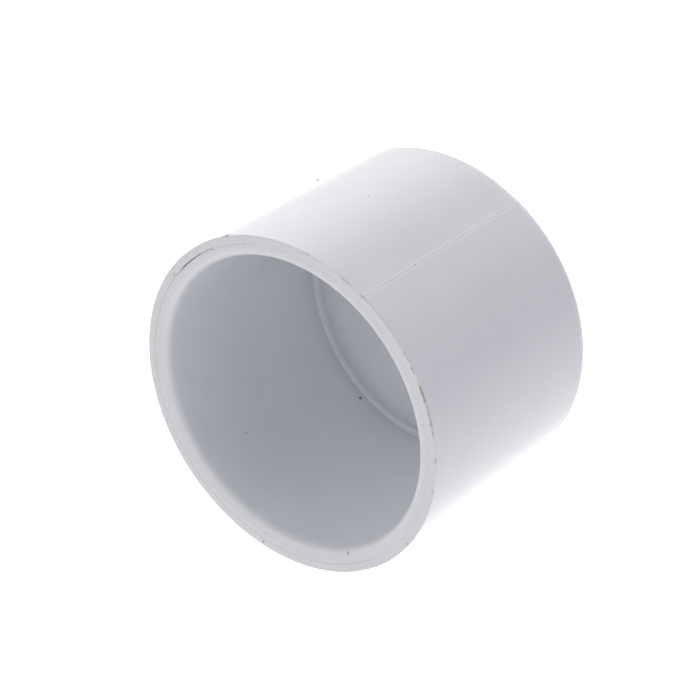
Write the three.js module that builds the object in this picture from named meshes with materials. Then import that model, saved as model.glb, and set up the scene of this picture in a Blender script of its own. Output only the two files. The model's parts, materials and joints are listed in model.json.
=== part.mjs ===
// Slip cap for nominal 1 1/2 inch (DN 40) PVC pressure pipe, in millimetres.
//
// The real cap is one injection moulding with no moving parts, so this is one solid of revolution. It
// lies on its side: its axis is parallel to Y, its open mouth faces -Y and its closed end faces +Y.
// It rests on the plane z = 0, and the origin is the middle of its footprint.

import * as THREE from 'three';

// Outside
const LENGTH = 41;
const MOUTH_OUTER_RADIUS = 28;
const OUTER_DRAFT = 1; // degrees, the wall narrows towards the closed end
const RIM_EDGE_RADIUS = 0.45;
const END_FILLET_RADIUS = 2.5;

// Tapered socket that the pipe is cemented into
const SOCKET_MOUTH_RADIUS = 24.28;
const SOCKET_STOP_RADIUS = 24.05;
const SOCKET_DEPTH = 35.4;
const LEAD_IN_RADIUS = 1.75;

// Shoulder that stops the pipe, and the shallow recess beyond it
const STOP_WIDTH = 1.3;
const RECESS_DEPTH = 0.9;
const FLOOR_FILLET_RADIUS = 0.5;

// Fineness of the faceted surface
const SIDES = 96;
const FILLET_STEPS = 6;
const SMALL_FILLET_STEPS = 3;

const { degToRad, lerp, radToDeg } = THREE.MathUtils;

// Points along an arc, in the plane of the profile. x is the distance from the axis and y is the
// distance from the mouth. Angles are in degrees, anticlockwise from +x.
function arc(centre, radius, startAngle, endAngle, steps) {
  const points = [];
  for (let step = 0; step <= steps; step += 1) {
    const angle = degToRad(lerp(startAngle, endAngle, step / steps));
    const offset = new THREE.Vector2(Math.cos(angle), Math.sin(angle)).multiplyScalar(radius);
    points.push(offset.add(centre));
  }
  return points;
}

// Inside of the cap, from the middle of its floor out to the start of the rim's flat face.
function insideProfile() {
  const floor = SOCKET_DEPTH + RECESS_DEPTH;
  const recessRadius = SOCKET_STOP_RADIUS - STOP_WIDTH;
  const floorFilletCentre = new THREE.Vector2(
    recessRadius - FLOOR_FILLET_RADIUS,
    floor - FLOOR_FILLET_RADIUS,
  );

  const taper = Math.atan((SOCKET_MOUTH_RADIUS - SOCKET_STOP_RADIUS) / SOCKET_DEPTH);
  const leadInCentre = new THREE.Vector2(
    SOCKET_MOUTH_RADIUS - LEAD_IN_RADIUS * Math.tan(taper) + LEAD_IN_RADIUS / Math.cos(taper),
    LEAD_IN_RADIUS,
  );

  return [
    new THREE.Vector2(0, floor),
    ...arc(floorFilletCentre, FLOOR_FILLET_RADIUS, 90, 0, SMALL_FILLET_STEPS),
    new THREE.Vector2(recessRadius, SOCKET_DEPTH),
    new THREE.Vector2(SOCKET_STOP_RADIUS, SOCKET_DEPTH),
    ...arc(leadInCentre, LEAD_IN_RADIUS, 180 + radToDeg(taper), 270, FILLET_STEPS),
  ];
}

// Outside of the cap, from the end of the rim's flat face to the middle of the closed end.
function outsideProfile() {
  const draft = degToRad(OUTER_DRAFT);
  const filletCentre = (radius, height) => new THREE.Vector2(
    MOUTH_OUTER_RADIUS - height * Math.tan(draft) - radius / Math.cos(draft),
    height,
  );
  const rimCentre = filletCentre(RIM_EDGE_RADIUS, RIM_EDGE_RADIUS);
  const endCentre = filletCentre(END_FILLET_RADIUS, LENGTH - END_FILLET_RADIUS);

  return [
    ...arc(rimCentre, RIM_EDGE_RADIUS, -90, OUTER_DRAFT, SMALL_FILLET_STEPS),
    ...arc(endCentre, END_FILLET_RADIUS, OUTER_DRAFT, 90, FILLET_STEPS),
    new THREE.Vector2(0, LENGTH),
  ];
}

// The whole cap, revolved so that a flat side, not a corner, is at the bottom and at each side.
function capBody() {
  const profile = [...insideProfile(), ...outsideProfile()];
  const halfSide = Math.PI / SIDES;
  const material = new THREE.MeshStandardMaterial({ color: 0xe4e2e6, roughness: 0.22, metalness: 0 });
  const mesh = new THREE.Mesh(new THREE.LatheGeometry(profile, SIDES, halfSide), material);
  mesh.name = 'cap_body';

  const widestRadius = Math.max(...profile.map((point) => point.x));
  mesh.position.set(0, -LENGTH / 2, widestRadius * Math.cos(halfSide));
  return mesh;
}

const pipeCap = new THREE.Group();
pipeCap.add(capBody());

export default pipeCap;
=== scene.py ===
"""Looks of a white PVC slip cap that lies on its side: one glossy moulding with light handling marks."""

import json
import math
import random
from collections import namedtuple

import bmesh
import bpy
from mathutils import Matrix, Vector, noise


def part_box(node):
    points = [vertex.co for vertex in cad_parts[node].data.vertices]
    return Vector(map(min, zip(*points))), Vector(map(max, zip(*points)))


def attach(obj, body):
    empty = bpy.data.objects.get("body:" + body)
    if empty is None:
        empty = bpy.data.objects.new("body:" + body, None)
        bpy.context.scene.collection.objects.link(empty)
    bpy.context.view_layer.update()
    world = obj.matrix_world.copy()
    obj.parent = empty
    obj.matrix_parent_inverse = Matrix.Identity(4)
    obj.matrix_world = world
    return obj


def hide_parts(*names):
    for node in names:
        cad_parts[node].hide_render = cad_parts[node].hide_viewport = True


MM = 0.001

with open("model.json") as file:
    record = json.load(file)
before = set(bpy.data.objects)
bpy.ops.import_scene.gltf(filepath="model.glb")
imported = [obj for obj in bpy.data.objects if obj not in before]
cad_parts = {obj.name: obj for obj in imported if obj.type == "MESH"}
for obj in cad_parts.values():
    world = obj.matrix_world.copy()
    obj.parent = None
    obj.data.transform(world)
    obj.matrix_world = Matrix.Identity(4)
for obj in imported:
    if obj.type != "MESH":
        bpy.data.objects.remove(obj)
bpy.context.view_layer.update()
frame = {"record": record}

# ---------------------------------------------------------------- the frame's places and sizes

NODE = "cap_body"
BOX_LOW, BOX_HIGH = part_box(NODE)
MOUNTS = {mount["name"]: Vector(mount["pos_m"]) for mount in frame["record"]["mounts"]}

MOUTH_Y = BOX_LOW.y
LENGTH = BOX_HIGH.y - BOX_LOW.y
OUTER_RADIUS = (BOX_HIGH.x - BOX_LOW.x) / 2
AXIS_Z = (BOX_LOW.z + BOX_HIGH.z) / 2
SOCKET_DEPTH = MOUNTS["pipe_stop"].y - MOUTH_Y

OUTER_DRAFT = math.radians(1.0)
RIM_EDGE_RADIUS = 0.15 * MM
END_FILLET_RADIUS = 2.5 * MM
SOCKET_MOUTH_RADIUS = 24.28 * MM
SOCKET_STOP_RADIUS = 24.05 * MM
SOCKET_TAPER = math.atan((SOCKET_MOUTH_RADIUS - SOCKET_STOP_RADIUS) / SOCKET_DEPTH)
LEAD_IN_RADIUS = 1.75 * MM
STOP_WIDTH = 1.3 * MM
STOP_CORNER_RADIUS = 0.25 * MM
STOP_ROOT_RADIUS = 0.12 * MM
RECESS_DEPTH = 0.9 * MM
FLOOR_FILLET_RADIUS = 0.5 * MM

# ---------------------------------------------------------------- marks of the mould and of handling
# Angles are degrees round the axis, from +X towards the top. Depths run from the mouth.
# SEAM_FLAT_PEAK is the highest value of share * (1 - share) ** 2, the flat's own profile.

SEAM_ANGLE = 59.0
SEAM_HEIGHT = 0.025 * MM
SEAM_OFFSET = 0.30 * MM
SEAM_WIDTH = 0.10 * MM
SEAM_GROOVE_DEPTH = 0.015 * MM
# Width of the dust and painted shade in the fine groove of each joint line.
SEAM_DUST_AND_SHADE_WIDTH = 0.07 * MM
# Width of the painted highlight along each ridge beside a joint line.
SEAM_HIGHLIGHT_WIDTH = 0.09 * MM
SEAM_FLAT_TURN = 13.0
SEAM_FLAT_DEPTH = 0.1 * MM
SEAM_FLAT_PEAK = 4 / 27
KINK_DEPTH = 12.8 * MM
KINK_LENGTH = 0.3 * MM
KINK_SHIFT = 0.2 * MM

WITNESS_RADIUS = 26.55 * MM
WITNESS_WIDTH = 0.06 * MM
WITNESS_DEPTH = 0.05 * MM
WITNESS_FROM, WITNESS_TO = 108.0, 305.0
WITNESS_FADE = 8.0
GOUGE_WIDTH = 0.085 * MM
GOUGE_DEPTH = 0.10 * MM
GougePoint = namedtuple("GougePoint", "angle radius strength")
GOUGE_PATH = [
    GougePoint(143.0, 26.45 * MM, 0.30), GougePoint(139.5, 26.55 * MM, 1.00),
    GougePoint(133.0, 26.58 * MM, 0.95), GougePoint(128.0, 26.62 * MM, 0.50),
    GougePoint(124.6, 26.72 * MM, 0.60), GougePoint(122.9, 26.60 * MM, 0.70),
    GougePoint(121.9, 26.25 * MM, 0.60), GougePoint(121.8, 25.85 * MM, 0.35),
]
BURR_ANGLE = 114.6
BURR_HALF_TURN = 0.9
BURR_HEIGHT = 0.20 * MM
BURR_REACH = 0.35 * MM
NUB_ANGLE, NUB_DEPTH = 123.5, 26.6 * MM
NUB_HEIGHT, NUB_WIDTH = 0.30 * MM, 0.22 * MM

CREASE_DEPTH = 0.2 * MM
CREASE_WIDTH = 0.13 * MM

GATE_RADIUS = 3.2 * MM
GATE_DEPTH = 0.35 * MM
STUB_RADIUS = 1.1 * MM
STUB_HEIGHT = 0.26 * MM

SURFACE_WAVE_HEIGHT = 0.010 * MM
SURFACE_WAVE_SIZE = 11 * MM
EDGE_WAVE_HEIGHT = 0.018 * MM
NICK_DEPTH = 0.08 * MM
FAINT_NICKS = 34
GRIME_DEPTH = 0.06 * MM
GRIME_WIDTH = 0.16 * MM
Spot = namedtuple("Spot", "angle half_turn strength")
EDGE_SPOTS = [
    Spot(106.0, 0.5, 0.55), Spot(82.0, 0.6, 0.60), Spot(66.0, 1.6, 0.60), Spot(59.0, 1.0, 0.60),
    Spot(41.5, 0.7, 0.45), Spot(37.0, 1.4, 0.55), Spot(33.2, 0.3, 0.85), Spot(31.6, 0.3, 0.60),
    Spot(28.3, 0.4, 0.55), Spot(24.4, 2.6, 1.00), Spot(17.5, 3.4, 0.75), Spot(12.0, 1.4, 0.62),
    Spot(2.5, 0.7, 0.70), Spot(-9.0, 0.6, 0.65), Spot(-31.0, 0.5, 0.65),
]

COLUMN_TURN = 1.0
WORN_COLUMN_TURN = 0.5
SEAM_COLUMN_TURN = 0.09
SEAM_COLUMNS = 1.5
WORN_FROM, WORN_TO = -15, 150
# Of these masks, the fifth marks dust and painted shade in grooves, and the sixth marks painted
# highlights.
MASKS = ("rim", "inside", "grime", "gouge", "dust_and_shade", "painted_highlight")
CLOSE_ROWS = 0.6 * MM
WITNESS_ROWS = 0.3 * MM
random.seed(11)


def bell(offset, width):
    """A smooth bump, 1 in its middle and 0.6 at width from it."""
    return math.exp(-0.5 * (offset / width) ** 2)


def fade(value, low, high):
    """Rises smoothly from 0 at low to 1 at high."""
    share = min(1.0, max(0.0, (value - low) / (high - low)))
    return share * share * (3 - 2 * share)


def turn_between(angle, other):
    """The turn from other to angle, between -180 and 180 degrees."""
    return (angle - other + 180) % 360 - 180


def turn_from_seam(angle):
    """The turn to the nearer of the two joint lines, without its sign."""
    return min(abs(turn_between(angle, SEAM_ANGLE)), abs(turn_between(angle, SEAM_ANGLE + 180)))


def uneven(x, y, layer):
    """Smooth noise between -1 and 1. Each layer is another pattern."""
    return noise.noise(Vector((x, y, layer)))


# ---------------------------------------------------------------- the cap's outline

def arc(centre, radius, start, end, steps):
    """Points of an arc in the outline's plane, (distance from the axis, distance from the mouth)."""
    points = []
    for step in range(steps + 1):
        angle = math.radians(start + (end - start) * step / steps)
        points.append((centre[0] + radius * math.cos(angle), centre[1] + radius * math.sin(angle)))
    return points


def run(start, end, steps):
    """Points of a straight stretch, without its two ends."""
    return [
        tuple(a + (b - a) * step / steps for a, b in zip(start, end))
        for step in range(1, steps)
    ]


def outer_radius(depth):
    """The drafted outside wall's radius."""
    return OUTER_RADIUS - depth * math.tan(OUTER_DRAFT)


def socket_radius(depth):
    """The tapered socket's radius."""
    return SOCKET_MOUTH_RADIUS - depth * math.tan(SOCKET_TAPER)


def socket_outline():
    """From the middle of the socket's floor, over the pipe stop, to the start of the lead-in."""
    floor = SOCKET_DEPTH + RECESS_DEPTH
    recess_radius = SOCKET_STOP_RADIUS - STOP_WIDTH
    fillet, corner, root = FLOOR_FILLET_RADIUS, STOP_CORNER_RADIUS, STOP_ROOT_RADIUS
    floor_middle = (0.0, floor)
    floor_fillet = arc((recess_radius - fillet, floor - fillet), fillet, 90, 0, steps=5)
    stop_edge = arc((recess_radius + corner, SOCKET_DEPTH + corner), corner, 180, 270, steps=4)
    stop_root = arc((SOCKET_STOP_RADIUS - root, SOCKET_DEPTH - root), root, 90, 0, steps=4)
    lead_in_start = (socket_radius(LEAD_IN_RADIUS), LEAD_IN_RADIUS)
    return [
        floor_middle, *run(floor_middle, floor_fillet[0], steps=9), *floor_fillet,
        *stop_edge, *run(stop_edge[-1], stop_root[0], steps=8),
        *stop_root, *run(stop_root[-1], lead_in_start, steps=19),
    ]


def rim_outline():
    """The rounded lead-in and the flat rim, with close rows where the witness line runs."""
    lead_in_middle = socket_radius(LEAD_IN_RADIUS) + LEAD_IN_RADIUS / math.cos(SOCKET_TAPER)
    taper = math.degrees(SOCKET_TAPER)
    lead_in = arc((lead_in_middle, LEAD_IN_RADIUS), LEAD_IN_RADIUS, 180 + taper, 270, steps=11)
    close_start = (WITNESS_RADIUS - WITNESS_ROWS, 0.0)
    close_end = (WITNESS_RADIUS + WITNESS_ROWS, 0.0)
    rim_end = (outer_radius(0) - RIM_EDGE_RADIUS / math.cos(OUTER_DRAFT), 0.0)
    return [
        *lead_in, close_start, *run(close_start, close_end, steps=12),
        close_end, *run(close_end, rim_end, steps=5),
    ]


def edge_outline():
    """The rounded outer edge of the mouth."""
    middle = outer_radius(RIM_EDGE_RADIUS) - RIM_EDGE_RADIUS / math.cos(OUTER_DRAFT)
    return arc((middle, RIM_EDGE_RADIUS), RIM_EDGE_RADIUS, -90, math.degrees(OUTER_DRAFT), steps=8)


def wall_outline():
    """The drafted outside wall, with close rows where the seam has its kink and round the nub."""
    stops = [
        3 * RIM_EDGE_RADIUS, KINK_DEPTH - CLOSE_ROWS, KINK_DEPTH + CLOSE_ROWS,
        NUB_DEPTH - CLOSE_ROWS, NUB_DEPTH + CLOSE_ROWS, LENGTH - END_FILLET_RADIUS,
    ]
    points = []
    for start, end, steps in zip(stops, stops[1:], (14, 6, 10, 6, 8)):
        low, high = (outer_radius(start), start), (outer_radius(end), end)
        points += [low, *run(low, high, steps)]
    return points


def end_outline():
    """The rounded back edge and the flat closed end, with close rows round the gate mark."""
    depth = LENGTH - END_FILLET_RADIUS
    middle = outer_radius(depth) - END_FILLET_RADIUS / math.cos(OUTER_DRAFT)
    fillet = arc((middle, depth), END_FILLET_RADIUS, math.degrees(OUTER_DRAFT), 90, steps=12)
    gate_start = (GATE_RADIUS + 0.4 * MM, LENGTH)
    end_middle = (0.0, LENGTH)
    return [
        *fillet, *run(fillet[-1], gate_start, steps=9),
        gate_start, *run(gate_start, end_middle, steps=15), end_middle,
    ]


# ---------------------------------------------------------------- relief on the outline's surfaces

def seam_relief(radius, depth, angle):
    """The joint lines of the two mould halves, with a shallow flat beside each on the upper half."""
    height = 0.0
    for line, side in ((SEAM_ANGLE, 1), (SEAM_ANGLE + 180, -1)):
        turn = turn_between(angle, line) * side
        across = math.radians(turn) * radius + KINK_SHIFT * bell(depth - KINK_DEPTH, KINK_LENGTH)
        height += SEAM_HEIGHT * bell(abs(across) - SEAM_OFFSET, SEAM_WIDTH)
        height -= SEAM_GROOVE_DEPTH * bell(across, SEAM_WIDTH)
        share = turn / SEAM_FLAT_TURN
        if 0 < share < 1:
            height -= SEAM_FLAT_DEPTH * share * (1 - share) ** 2 / SEAM_FLAT_PEAK
    return height


def seam_dust_and_shade(radius, depth, angle):
    """How much dust and painted shade darken the fine groove in the middle of each joint line, from 0 to
    1.
    """
    broken = 0.2 + 0.4 * uneven(depth / (3 * MM), angle / 60, layer=8)
    return max(0.0, broken) * bell(math.radians(turn_from_seam(angle)) * radius, SEAM_DUST_AND_SHADE_WIDTH)


def painted_highlight_share(zone, radius, angle, normal):
    """How strong the painted highlight is on the seam's ridges, the back edge and the lead-in, from 0 to
    1.
    """
    # The ridges beside each joint line get a painted highlight.
    if zone == "wall":
        across = math.radians(turn_from_seam(angle)) * radius
        return 0.8 * bell(across - SEAM_OFFSET, SEAM_HIGHLIGHT_WIDTH)
    # The band on the rounded back edge gets a painted highlight.
    if zone == "end":
        return fade(normal.y, 0.05, 0.45) * (1 - 0.7 * fade(normal.y, 0.9, 1.0))
    # The lead-in gets a painted highlight.
    if zone == "rim":
        inward = math.degrees(math.asin(min(1.0, max(0.0, -normal.x))))
        return 0.9 * bell(inward - 38, 13)
    return 0.0


def gouge(radius, angle):
    """How scraped the rim is, from 0 to 1, along a ragged line that ends in a hook."""
    if not 119 < angle < 147:
        return 0.0
    place = Vector((math.radians(angle) * WITNESS_RADIUS, radius))
    deepest = 0.0
    for start, end in zip(GOUGE_PATH, GOUGE_PATH[1:]):
        low = Vector((math.radians(start.angle) * WITNESS_RADIUS, start.radius))
        along = Vector((math.radians(end.angle) * WITNESS_RADIUS, end.radius)) - low
        share = min(1.0, max(0.0, (place - low).dot(along) / along.length_squared))
        strength = start.strength + (end.strength - start.strength) * share
        deepest = max(deepest, strength * bell((place - low - along * share).length, GOUGE_WIDTH))
    return min(1.0, deepest * (1 + 0.35 * uneven(angle * 1.3, radius / (0.4 * MM), layer=3.1)))


def crease(radius, depth):
    """How deep in one of the two shallow grooves beside the pipe stop a point lies, from 0 to 1."""
    past_stop = radius - SOCKET_STOP_RADIUS
    root = bell(past_stop + 1.6 * CREASE_WIDTH, CREASE_WIDTH)
    foot = bell(past_stop + STOP_WIDTH + 2 * CREASE_WIDTH, 1.4 * CREASE_WIDTH)
    root_share = fade(depth, 35 * MM, SOCKET_DEPTH)
    foot_share = fade(depth, SOCKET_DEPTH + 0.5 * RECESS_DEPTH, SOCKET_DEPTH + RECESS_DEPTH)
    return max(root * root_share, foot * foot_share)


def witness(radius, angle):
    """How clear the witness groove round the rim is, from 0 to 1."""
    begun = fade(angle, WITNESS_FROM - WITNESS_FADE, WITNESS_FROM)
    ended = fade(angle, WITNESS_TO, WITNESS_TO + WITNESS_FADE)
    clear = 0.15 + begun * (1 - ended) * (0.6 + 0.25 * uneven(angle / 9, 0, layer=2.2))
    return clear * bell(radius - WITNESS_RADIUS, WITNESS_WIDTH)


def rim_relief(radius, angle):
    """The thin witness groove round the rim, and the gouge."""
    return -WITNESS_DEPTH * witness(radius, angle) - GOUGE_DEPTH * gouge(radius, angle)


def wall_relief(radius, depth, angle):
    """A nub of stuck dirt on the wall, and the foot of the burr at the mouth."""
    across = math.radians(turn_between(angle, NUB_ANGLE)) * radius
    nub = NUB_HEIGHT * bell(across, NUB_WIDTH) * bell(depth - NUB_DEPTH, NUB_WIDTH)
    burr = BURR_HEIGHT * bell(turn_between(angle, BURR_ANGLE), BURR_HALF_TURN)
    return nub + burr * bell(depth, BURR_REACH)


def edge_relief(angle, nicks):
    """The burr, small nicks and unevenness along the mouth's outer edge."""
    height = EDGE_WAVE_HEIGHT * uneven(angle * 0.6, 0, layer=5.5)
    ragged = 0.75 + 0.5 * uneven(angle * 2.5, 0, layer=1.5)
    height += BURR_HEIGHT * ragged * bell(turn_between(angle, BURR_ANGLE), BURR_HALF_TURN)
    for nick in nicks:
        height -= NICK_DEPTH * nick.strength * bell(turn_between(angle, nick.angle), nick.half_turn)
    return height


def gate_relief(radius, x, z):
    """The dished gate mark in the middle of the closed end, with the broken stub inside it."""
    dish = 1 - fade(radius, GATE_RADIUS - 0.5 * MM, GATE_RADIUS + 0.2 * MM)
    stub = 1 - fade(radius, STUB_RADIUS - 0.2 * MM, STUB_RADIUS + 0.15 * MM)
    rough = 0.8 + 0.2 * noise.noise(Vector((x, 0, z)) / (0.5 * MM))
    return STUB_HEIGHT * rough * stub - GATE_DEPTH * dish


# ---------------------------------------------------------------- the moulding

def make_columns():
    """The angles of the mesh's columns, close together beside the seams and along the worn rim."""
    angles = []
    angle = -180.0
    while angle < 180.0 - 1e-6:
        angles.append(angle)
        if turn_from_seam(angle) < SEAM_COLUMNS:
            angle += SEAM_COLUMN_TURN
        elif WORN_FROM < angle < WORN_TO:
            angle += WORN_COLUMN_TURN
        else:
            angle += COLUMN_TURN
    return angles


def outward_normals(points):
    """For each outline point, the direction away from the plastic."""
    normals = []
    for i in range(len(points)):
        before, after = points[max(i - 1, 0)], points[min(i + 1, len(points) - 1)]
        along = Vector((after[0] - before[0], after[1] - before[1])).normalized()
        normals.append(Vector((along.y, -along.x)))
    return normals


def all_nicks():
    """The nicks that hold grime, and fainter ones all round."""
    faint = [
        Spot(random.uniform(-180, 180), random.uniform(0.3, 1.1), random.uniform(0.1, 0.4))
        for _ in range(FAINT_NICKS)
    ]
    return EDGE_SPOTS + faint


def grime(angle, radius, depth):
    """How much grime the mouth's outer edge holds, from 0 to 1."""
    most = 0.0
    for spot in EDGE_SPOTS:
        away = max(0.0, abs(turn_between(angle, spot.angle)) - spot.half_turn)
        most = max(most, spot.strength * bell(away, 0.4))
    at_edge = fade(radius, OUTER_RADIUS - 0.55 * MM, OUTER_RADIUS - 0.15 * MM)
    return most * at_edge * bell(depth - GRIME_DEPTH, GRIME_WIDTH)


def relief(zone, radius, depth, angle, normal, place, nicks):
    """How far the moulding's surface stands off its plain outline."""
    height = SURFACE_WAVE_HEIGHT * noise.noise(place / SURFACE_WAVE_SIZE)
    height += max(0.0, normal.x) ** 2 * seam_relief(radius, depth, angle)
    if zone == "wall":
        height += wall_relief(radius, depth, angle)
    if zone == "socket":
        height -= CREASE_DEPTH * crease(radius, depth)
    if zone == "rim":
        height += rim_relief(radius, angle % 360)
    if zone == "edge":
        height += 2 * abs(normal.x * normal.y) * edge_relief(angle, nicks)
    if zone == "end" and radius < 2 * GATE_RADIUS:
        height += gate_relief(radius, place.x, place.z)
    return height


def masks_at(zone, radius, depth, angle, normal):
    """Where the material changes, and where highlight and shade are painted: the values of the mesh's
    masks at one vertex, from 0 to 1.
    """
    facing = max(0.0, -normal.y) ** 6 if zone in ("rim", "edge") else 0.0
    # Dust and painted shade darken the seam's groove, the grooves beside the pipe stop and the witness
    # groove.
    dust_and_shade_share = 0.0
    if zone == "wall":
        dust_and_shade_share = seam_dust_and_shade(radius, depth, angle)
    if zone == "socket":
        dust_and_shade_share = 0.6 * crease(radius, depth)
    if zone == "rim":
        dust_and_shade_share = 1.2 * witness(radius, angle % 360)
    return {
        "rim": facing,
        "inside": 1.0 if zone in ("socket", "rim") else facing,
        "grime": grime(angle, radius, depth),
        "gouge": gouge(radius, angle % 360) if zone == "rim" else 0.0,
        # Dust and painted shade in grooves.
        "dust_and_shade": dust_and_shade_share,
        # Painted highlight on the seam's ridges, the back edge and the lead-in.
        "painted_highlight": painted_highlight_share(zone, radius, angle, normal),
    }


def add_rings(bm):
    """The mesh's vertices with their masks, one ring for each point of the whole outline."""
    zones = [
        ("socket", socket_outline()), ("rim", rim_outline()), ("edge", edge_outline()),
        ("wall", wall_outline()), ("end", end_outline()),
    ]
    rows = [(zone, point) for zone, points in zones for point in points]
    normals = outward_normals([point for _, point in rows])
    columns = make_columns()
    nicks = all_nicks()
    layers = {name: bm.verts.layers.float.new(name) for name in MASKS}
    rings = []
    for (zone, (radius, depth)), normal in zip(rows, normals):
        ring = []
        for angle in columns if radius > 1e-9 else columns[:1]:
            across, up = math.cos(math.radians(angle)), math.sin(math.radians(angle))
            place = Vector((radius * across, MOUTH_Y + depth, radius * up))
            height = relief(zone, radius, depth, angle, normal, place, nicks)
            reach = radius + normal.x * height
            y = MOUTH_Y + depth + normal.y * height
            vertex = bm.verts.new((reach * across, y, AXIS_Z + reach * up))
            for name, value in masks_at(zone, radius, depth, angle, normal).items():
                vertex[layers[name]] = value
            ring.append(vertex)
        rings.append(ring)
    return rings


def add_faces(bm, rings):
    """Joins each ring to the next. The first and last ring are single points."""
    columns = max(len(ring) for ring in rings)
    for ring, following in zip(rings, rings[1:]):
        for i in range(columns):
            j = (i + 1) % columns
            corners = [ring[i % len(ring)], ring[j % len(ring)]]
            corners += [following[j % len(following)], following[i % len(following)]]
            bm.faces.new(dict.fromkeys(corners))
    bmesh.ops.recalc_face_normals(bm, faces=bm.faces)


def make_cap():
    """The whole moulding, revolved from its outline, with its relief and the masks of its material."""
    bm = bmesh.new()
    add_faces(bm, add_rings(bm))
    mesh = bpy.data.meshes.new("cap_moulding")
    bm.to_mesh(mesh)
    bm.free()
    mesh.shade_smooth()
    cap = bpy.data.objects.new("cap_moulding", mesh)
    bpy.context.scene.collection.objects.link(cap)
    return cap


# ---------------------------------------------------------------- short ways to add nodes

def add_node(tree, kind, inputs=None, **settings):
    """Adds a node. Each input is a value, or the socket that it is linked from."""
    made = tree.nodes.new(kind)
    for name, value in settings.items():
        setattr(made, name, value)
    for key, value in (inputs or {}).items():
        if isinstance(value, bpy.types.NodeSocket):
            tree.links.new(value, made.inputs[key])
        else:
            made.inputs[key].default_value = value
    return made


def calc(tree, operation, *values):
    """A sum or another operation on numbers or sockets."""
    return add_node(tree, "ShaderNodeMath", dict(enumerate(values)), operation=operation).outputs[0]


def times(tree, value, factor):
    return calc(tree, "MULTIPLY", value, factor)


def total(tree, first, *others):
    """The sum of all the values."""
    for other in others:
        first = calc(tree, "ADD", first, other)
    return first


def vector(tree, operation, *values, output="Vector"):
    """The same for vectors."""
    made = add_node(tree, "ShaderNodeVectorMath", dict(enumerate(values)), operation=operation)
    return made.outputs[output]


def grain(tree, place, size, detail=2.0, stretch=(1, 1, 1)):
    """Noise from 0 to 1 with patches of about this size."""
    scaled = vector(tree, "MULTIPLY", place, stretch)
    return add_node(
        tree, "ShaderNodeTexNoise", {"Vector": scaled, "Scale": 1 / size, "Detail": detail}
    ).outputs["Fac"]


def ramp(tree, value, low, high, to_low=0.0, to_high=1.0):
    """Goes smoothly from to_low, where value is low, to to_high, where it is high."""
    return add_node(
        tree, "ShaderNodeMapRange",
        {"Value": value, "From Min": low, "From Max": high, "To Min": to_low, "To Max": to_high},
        interpolation_type="SMOOTHSTEP",
    ).outputs["Result"]


def blend(tree, share, colour, other):
    """Mixes two colours."""
    mix = add_node(tree, "ShaderNodeMix", data_type="RGBA")
    for name, value in (("Factor", share), ("A", colour), ("B", other)):
        if isinstance(value, bpy.types.NodeSocket):
            tree.links.new(value, mix.inputs[name])
        else:
            mix.inputs[name].default_value = value
    return mix.outputs["Result"]


def mix_values(tree, share, value, other):
    """Mixes two numbers."""
    return add_node(tree, "ShaderNodeMix", {0: share, 2: value, 3: other}).outputs[0]


def mask(tree, name):
    """One of the mesh's masks."""
    return add_node(tree, "ShaderNodeAttribute", attribute_name=name).outputs["Fac"]


# ---------------------------------------------------------------- material

PLASTIC = (0.848, 0.873, 0.902, 1)
PLASTIC_DULL = (0.828, 0.854, 0.882, 1)
# Dark colour for dust and painted shade in grooves and creases.
PLASTIC_DUST_AND_SHADE = (0.50, 0.50, 0.505, 1)
# Paler colour that paints highlights on the seam's ridges, the back edge and the lead-in.
PLASTIC_PAINTED_HIGHLIGHT = (0.955, 0.96, 0.975, 1)
PLASTIC_WORN = (0.785, 0.80, 0.79, 1)
GRIME = (0.43, 0.39, 0.29, 1)
DARK = (0.10, 0.09, 0.085, 1)
TAN = (0.50, 0.41, 0.24, 1)

IOR = 1.53
ROUGHNESS_LOW, ROUGHNESS_HIGH = 0.13, 0.19
SMUDGE_ROUGHNESS = 0.06
INSIDE_ROUGHNESS = 0.18
RIM_ROUGHNESS = 0.06
GRIME_ROUGHNESS = 0.4

PEEL_HEIGHT = 0.0030
FINE_HEIGHT = 0.0007
RIM_GRAIN_HEIGHT = 0.014
SCUFF_TURNS = (4, 38, -55)
SCUFF_DEPTH = 0.0008

Speck = namedtuple("Speck", "angle radius depth size colour strength")


def wall_speck(angle, depth, size, colour, strength):
    return Speck(angle, outer_radius(depth * MM), depth * MM, size * MM, colour, strength)


def socket_speck(angle, depth, size, colour, strength):
    return Speck(angle, socket_radius(depth * MM), depth * MM, size * MM, colour, strength)


def rim_speck(angle, radius, size, colour, strength):
    return Speck(angle, radius * MM, 0.0, size * MM, colour, strength)


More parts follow.
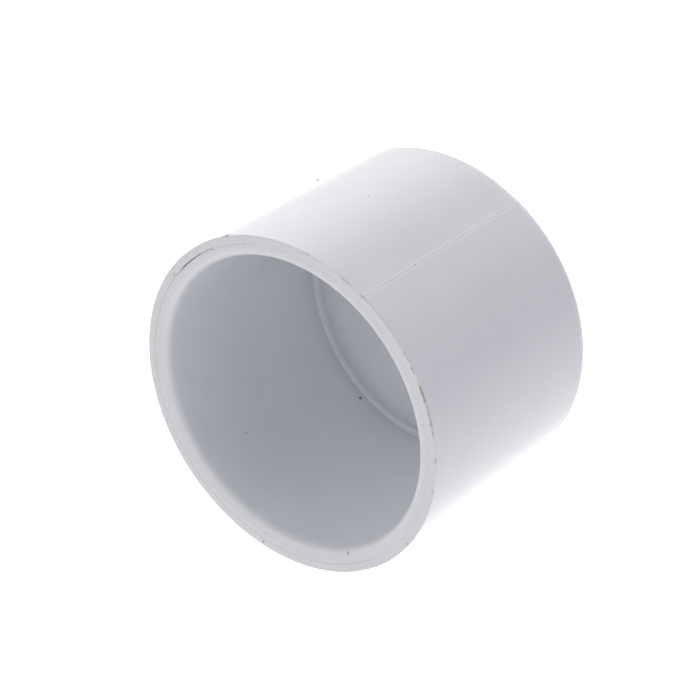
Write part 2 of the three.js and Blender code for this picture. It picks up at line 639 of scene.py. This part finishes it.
SPECKS = [
    wall_speck(90.3, 20.1, 0.16, DARK, 0.7),
    wall_speck(76, 10.2, 0.12, DARK, 0.3),
    wall_speck(SEAM_ANGLE, KINK_DEPTH / MM, 0.17, DARK, 0.6),
    wall_speck(NUB_ANGLE, NUB_DEPTH / MM, 0.42, DARK, 0.9),
    wall_speck(205, 14.0, 0.15, GRIME, 0.5),
    wall_speck(-95, 22.0, 0.18, GRIME, 0.5),
    Speck(BURR_ANGLE - 0.7, OUTER_RADIUS + 0.1 * MM, 0.15 * MM, 0.36 * MM, DARK, 0.8),
    Speck(BURR_ANGLE + 0.8, OUTER_RADIUS + 0.1 * MM, 0.15 * MM, 0.32 * MM, DARK, 0.7),
    socket_speck(236.6, 35.0, 0.34, DARK, 0.85),
    socket_speck(223.5, 10.8, 0.17, DARK, 0.5),
    socket_speck(185, 34.4, 0.20, GRIME, 0.6),
    socket_speck(202.8, 6.6, 0.15, DARK, 0.4),
    socket_speck(180.7, 3.6, 0.14, DARK, 0.35),
    socket_speck(40, 17.0, 0.18, DARK, 0.4),
    rim_speck(145.2, 26.9, 0.42, TAN, 0.35),
    rim_speck(143.8, 26.5, 0.26, TAN, 0.35),
    rim_speck(191, 27.4, 0.24, GRIME, 0.3),
    rim_speck(259, 27.2, 0.20, DARK, 0.8),
    rim_speck(326, 27.7, 0.24, GRIME, 0.8),
    Speck(297, 24.9 * MM, 0.45 * MM, 0.30 * MM, TAN, 0.75),
    Speck(153, 24.45 * MM, 0.9 * MM, 0.26 * MM, GRIME, 0.3),
]


def plastic_colour(tree, place, rim):
    """Cool white, a little uneven in broad patches and in fine grain, with painted highlights, with dust
    and painted shade in grooves, and duller on the worn rim.
    """
    broad = times(tree, grain(tree, place, 9 * MM), 0.7)
    fine = times(tree, grain(tree, place, 0.7 * MM, detail=4.0), 0.3)
    patches = ramp(tree, total(tree, broad, fine), 0.35, 0.68)
    colour = blend(tree, patches, PLASTIC, PLASTIC_DULL)
    along = grain(tree, place, 1.1 * MM, detail=3.0, stretch=(1, 0.08, 1))
    streaks = ramp(tree, along, 0.6, 0.85, 0.0, 0.35)
    colour = blend(tree, streaks, colour, PLASTIC_DULL)
    # Painted highlights on the seam's ridges, the back edge and the lead-in.
    colour = blend(tree, mask(tree, "painted_highlight"), colour, PLASTIC_PAINTED_HIGHLIGHT)
    # Dust and painted shade in the grooves and creases.
    colour = blend(tree, times(tree, mask(tree, "dust_and_shade"), 0.8), colour, PLASTIC_DUST_AND_SHADE)
    worn = ramp(tree, grain(tree, place, 0.45 * MM, detail=5.0), 0.35, 0.7, 0.15, 0.75)
    return blend(tree, times(tree, rim, worn), colour, PLASTIC_WORN)


def grime_share(tree, place):
    """Where grime sits: in the nicks of the mouth's edge and in the gouge, with ragged borders."""
    ragged = times(tree, grain(tree, place, 0.35 * MM, detail=5.0), 0.9)
    at_edge = ramp(tree, total(tree, mask(tree, "grime"), ragged), 0.8, 1.4)
    scraped = ramp(tree, total(tree, mask(tree, "gouge"), ragged), 0.6, 1.3)
    return at_edge, scraped


def add_specks(tree, place, colour):
    """Small specks of dirt, each with a wobbly outline."""
    wobble = add_node(
        tree, "ShaderNodeTexNoise", {"Vector": place, "Scale": 1 / (0.3 * MM), "Detail": 2.0}
    ).outputs["Color"]
    shift = vector(tree, "SUBTRACT", wobble, (0.5, 0.5, 0.5))
    shift = vector(tree, "MULTIPLY", shift, (0.35 * MM,) * 3)
    wobbly = vector(tree, "ADD", place, shift)
    for speck in SPECKS:
        turn = math.radians(speck.angle)
        x, z = speck.radius * math.cos(turn), AXIS_Z + speck.radius * math.sin(turn)
        away = vector(tree, "DISTANCE", wobbly, (x, MOUTH_Y + speck.depth, z), output="Value")
        share = ramp(tree, away, 0.5 * speck.size, 1.15 * speck.size, speck.strength, 0.0)
        colour = blend(tree, share, colour, speck.colour)
    return colour


def scuffs(tree, place, turn):
    """Thin short parallel scuffs. The turn tilts them out of the cap's axis."""
    turned = add_node(
        tree, "ShaderNodeVectorRotate", {"Vector": place, "Angle": math.radians(turn)},
        rotation_type="Z_AXIS",
    ).outputs["Vector"]
    lines = ramp(tree, grain(tree, turned, 0.22 * MM, detail=1.0, stretch=(1, 0.03, 1)), 0.66, 0.76)
    patches = ramp(tree, grain(tree, place, 7 * MM), 0.5, 0.65)
    return times(tree, lines, patches)


def surface_height(tree, place, rim):
    """Height in millimetres: faint orange peel, handling scuffs and a rougher rim."""
    rim_grain = times(tree, grain(tree, place, 0.3 * MM, detail=4.0), rim)
    height = total(
        tree,
        times(tree, grain(tree, place, 1.8 * MM), PEEL_HEIGHT),
        times(tree, grain(tree, place, 0.4 * MM), FINE_HEIGHT),
        times(tree, rim_grain, RIM_GRAIN_HEIGHT),
    )
    for turn in SCUFF_TURNS:
        height = calc(tree, "SUBTRACT", height, times(tree, scuffs(tree, place, turn), SCUFF_DEPTH))
    return height


def surface_roughness(tree, place, rim, dirt):
    """Glossy outside, duller inside and on the rim, and dull where there is dirt."""
    smudge = ramp(tree, grain(tree, place, 14 * MM, detail=5.0), 0.55, 0.7, 0.0, SMUDGE_ROUGHNESS)
    patches = grain(tree, place, 6 * MM, detail=3.0)
    return total(
        tree,
        ramp(tree, patches, 0.3, 0.7, ROUGHNESS_LOW, ROUGHNESS_HIGH),
        smudge,
        times(tree, mask(tree, "inside"), INSIDE_ROUGHNESS),
        times(tree, rim, RIM_ROUGHNESS),
        times(tree, dirt, GRIME_ROUGHNESS),
    )


def pvc_material():
    """Glossy moulded PVC: cool white, faintly uneven, scuffed, with grime at the mouth's edge, painted
    highlights, and dust and painted shade in grooves.
    """
    material = bpy.data.materials.new("white_pvc")
    material.use_nodes = True
    tree = material.node_tree
    shader = tree.nodes["Principled BSDF"]
    place = add_node(tree, "ShaderNodeTexCoord").outputs["Object"]
    rim = mask(tree, "rim")
    at_edge, scraped = grime_share(tree, place)
    colour = plastic_colour(tree, place, rim)
    colour = blend(tree, times(tree, at_edge, 0.8), colour, GRIME)
    colour = blend(tree, times(tree, scraped, 0.75), colour, DARK)
    tree.links.new(add_specks(tree, place, colour), shader.inputs["Base Color"])
    dirt = calc(tree, "MAXIMUM", at_edge, scraped)
    tree.links.new(surface_roughness(tree, place, rim, dirt), shader.inputs["Roughness"])
    shader.inputs["IOR"].default_value = IOR
    height = surface_height(tree, place, rim)
    bump = add_node(tree, "ShaderNodeBump", {"Height": height, "Distance": MM, "Strength": 1.0})
    tree.links.new(bump.outputs["Normal"], shader.inputs["Normal"])
    return material


# ---------------------------------------------------------------- floor, light and camera

CAMERA_AZIMUTH = 38.1
CAMERA_ELEVATION = 30.3
CAMERA_DISTANCE = 483.5 * MM
CAMERA_LENS = 159.4
AIM_RIGHT = -3.2 * MM
AIM_UP = 0.45 * MM

FLOOR_HALF_SIZE = 3.0
FLOOR_COLOUR = (0.8, 0.8, 0.8, 1)
BLACK = (0, 0, 0, 1)
FLOOR_GLOW = 0.21
FLOOR_GLOW_SEEN = 0.97
FLOOR_GLOW_CLOSE = 2.3
FLOOR_GLOW_REACH = 0.06
FLOOR_GLOW_BEHIND = 1.25
FLOOR_GLOW_AZIMUTH = 220
FLOOR_GLOW_FALLOFF = 4.0

BLUISH = (0.91, 0.92, 1.00)
PINKISH = (1.00, 0.92, 0.93)
PLAIN = (1.00, 0.97, 0.99)
GLOW_FALLOFF = 14.0
Glow = namedtuple("Glow", "azimuth elevation level colour")
GLOWS = [
    Glow(0, 90, 1.25, BLUISH), Glow(90, 5, 2.45, BLUISH),
    Glow(165, 32, 1.35, PINKISH), Glow(195, 32, 1.0, PINKISH), Glow(240, 5, 1.95, PINKISH),
    Glow(185, 2, 0.6, PLAIN), Glow(225, 32, 1.75, PLAIN),
    Glow(315, 32, 1.85, PLAIN), Glow(345, 32, 1.0, PLAIN), Glow(30, 5, 1.15, PLAIN),
]


def towards(azimuth, elevation):
    """The direction from the object to a camera or light. Azimuth 0 is in front of the mouth."""
    turn, rise = math.radians(azimuth), math.radians(elevation)
    return Vector((math.sin(turn) * math.cos(rise), -math.cos(turn) * math.cos(rise), math.sin(rise)))


def make_camera():
    """The photograph's view: from the right of the mouth, above it, through a long lens."""
    back = towards(CAMERA_AZIMUTH, CAMERA_ELEVATION)
    turn = (-back).to_track_quat("-Z", "Y")
    aim = (BOX_LOW + BOX_HIGH) / 2 + turn @ Vector((AIM_RIGHT, AIM_UP, 0))
    data = bpy.data.cameras.new("camera")
    data.lens = CAMERA_LENS
    data.sensor_width = 36
    data.clip_start = 0.01
    camera = bpy.data.objects.new("camera", data)
    camera.location = aim + back * CAMERA_DISTANCE
    camera.rotation_euler = turn.to_euler()
    bpy.context.scene.collection.objects.link(camera)
    bpy.context.scene.camera = camera


def mirrored_floor(tree):
    """How bright the floor looks in the gloss: bright close by, and fading except behind the cap."""
    place = add_node(tree, "ShaderNodeTexCoord").outputs["Object"]
    away = vector(tree, "LENGTH", place, output="Value")
    close = calc(tree, "DIVIDE", FLOOR_GLOW_REACH, total(tree, away, FLOOR_GLOW_REACH))
    aim = tuple(towards(FLOOR_GLOW_AZIMUTH, 0))
    facing = vector(tree, "DOT_PRODUCT", vector(tree, "NORMALIZE", place), aim, output="Value")
    behind = calc(tree, "POWER", calc(tree, "MAXIMUM", facing, 0.0), FLOOR_GLOW_FALLOFF)
    return mix_values(tree, close, times(tree, behind, FLOOR_GLOW_BEHIND), FLOOR_GLOW_CLOSE)


def floor_material():
    """A pale floor that looks burnt out to the camera, and sheds less light than that."""
    material = bpy.data.materials.new("floor_white")
    material.use_nodes = True
    tree = material.node_tree
    shader = tree.nodes["Principled BSDF"]
    shader.inputs["Roughness"].default_value = 0.9
    shader.inputs["Emission Color"].default_value = (1, 1, 1, 1)
    path = add_node(tree, "ShaderNodeLightPath")
    in_gloss, seen = path.outputs["Is Glossy Ray"], path.outputs["Is Camera Ray"]
    glow = mix_values(tree, in_gloss, FLOOR_GLOW, mirrored_floor(tree))
    glow = mix_values(tree, seen, glow, FLOOR_GLOW_SEEN)
    tree.links.new(glow, shader.inputs["Emission Strength"])
    tree.links.new(blend(tree, in_gloss, FLOOR_COLOUR, BLACK), shader.inputs["Base Color"])
    return material


def make_floor():
    bm = bmesh.new()
    bmesh.ops.create_grid(bm, x_segments=1, y_segments=1, size=FLOOR_HALF_SIZE)
    mesh = bpy.data.meshes.new("floor")
    bm.to_mesh(mesh)
    bm.free()
    floor = bpy.data.objects.new("floor", mesh)
    bpy.context.scene.collection.objects.link(floor)
    mesh.materials.append(floor_material())


def make_world():
    """Broad soft glows round the studio. The camera sees plain white instead."""
    world = bpy.data.worlds.new("studio")
    world.use_nodes = True
    tree = world.node_tree
    backdrop = tree.nodes["Background"]
    backdrop.inputs["Color"].default_value = (1, 1, 1, 1)
    backdrop.inputs["Strength"].default_value = 1.0
    direction = add_node(tree, "ShaderNodeTexCoord").outputs["Generated"]
    light = None
    for glow in GLOWS:
        aim = tuple(towards(glow.azimuth, glow.elevation))
        facing = vector(tree, "DOT_PRODUCT", direction, aim, output="Value")
        falloff = calc(tree, "POWER", calc(tree, "MAXIMUM", facing, 0.0), GLOW_FALLOFF)
        shine = add_node(
            tree, "ShaderNodeBackground",
            {"Color": (*glow.colour, 1), "Strength": times(tree, falloff, glow.level)},
        ).outputs[0]
        if light:
            shine = add_node(tree, "ShaderNodeAddShader", {0: light, 1: shine}).outputs[0]
        light = shine
    seen = add_node(tree, "ShaderNodeLightPath").outputs["Is Camera Ray"]
    mixed = add_node(tree, "ShaderNodeMixShader", {0: seen, 1: light, 2: backdrop.outputs[0]}).outputs[0]
    tree.links.new(mixed, tree.nodes["World Output"].inputs["Surface"])
    bpy.context.scene.world = world


cap = make_cap()
cap.data.materials.append(pvc_material())
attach(cap, "root")
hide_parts(NODE)

make_floor()
make_world()
make_camera()
bpy.context.scene.view_settings.view_transform = "Standard"
